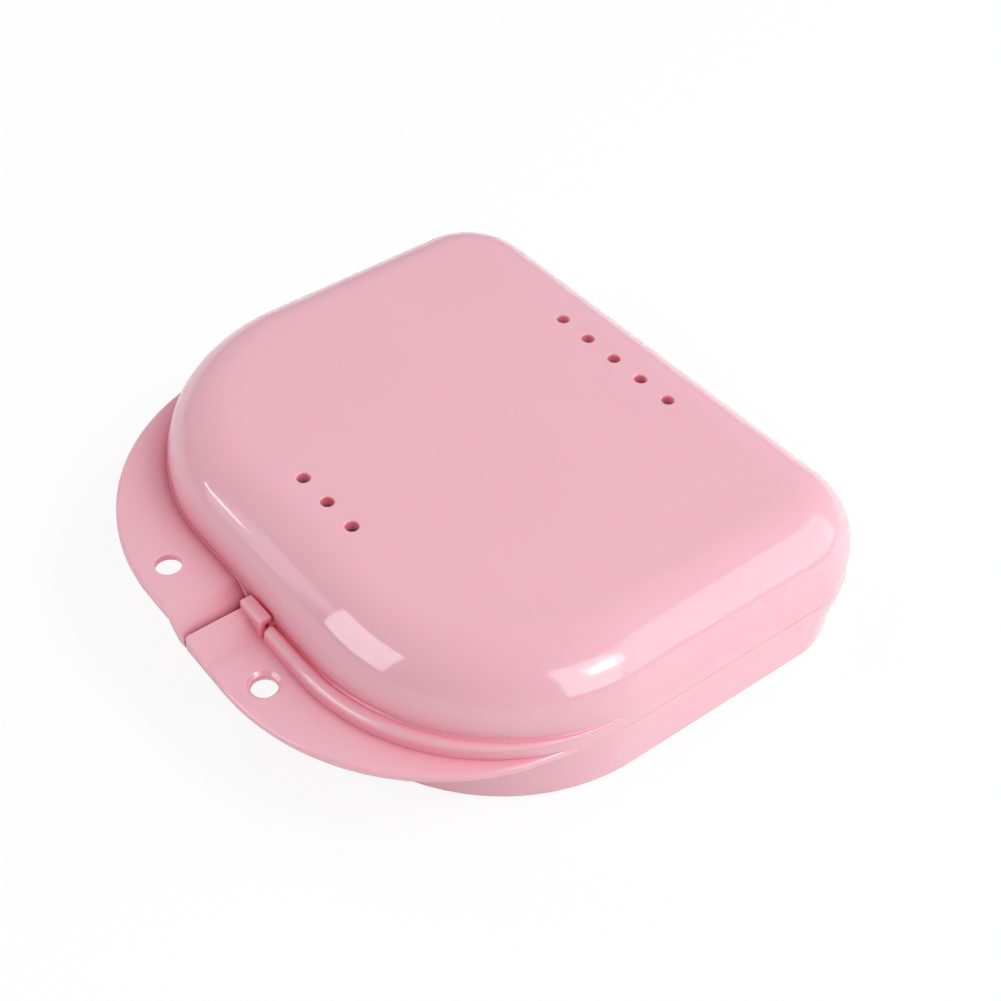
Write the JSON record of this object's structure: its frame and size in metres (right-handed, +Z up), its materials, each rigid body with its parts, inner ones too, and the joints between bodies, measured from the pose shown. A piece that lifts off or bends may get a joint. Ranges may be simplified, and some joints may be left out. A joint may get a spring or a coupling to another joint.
{
  "type": "denture case",
  "caption": "Flat hinged plastic case for a denture or retainer, with air holes in the lid, split front wings and a snap hook.",
  "frame": {"origin": "on the flat underside of the tray, under the middle of the case's body", "axes": "+Z up, +X to the right along the hinge line, -Y to the front where the wings are"},
  "size_m": [0.0804, 0.0788, 0.0213],
  "materials": {
    "pink_plastic": "glossy moulded polypropylene, pale pink"
  },
  "bodies": {
    "tray": {"tray": "pink_plastic"},
    "lid": {"lid": "pink_plastic"}
  },
  "joints": [
    {"name": "lid_hinge", "type": "hinge", "parent": "tray", "child": "lid", "pos_m": [0, 0.0346, 0.01065], "axis": [-1, 0, 0], "range_deg": [0, 180]}
  ]
}
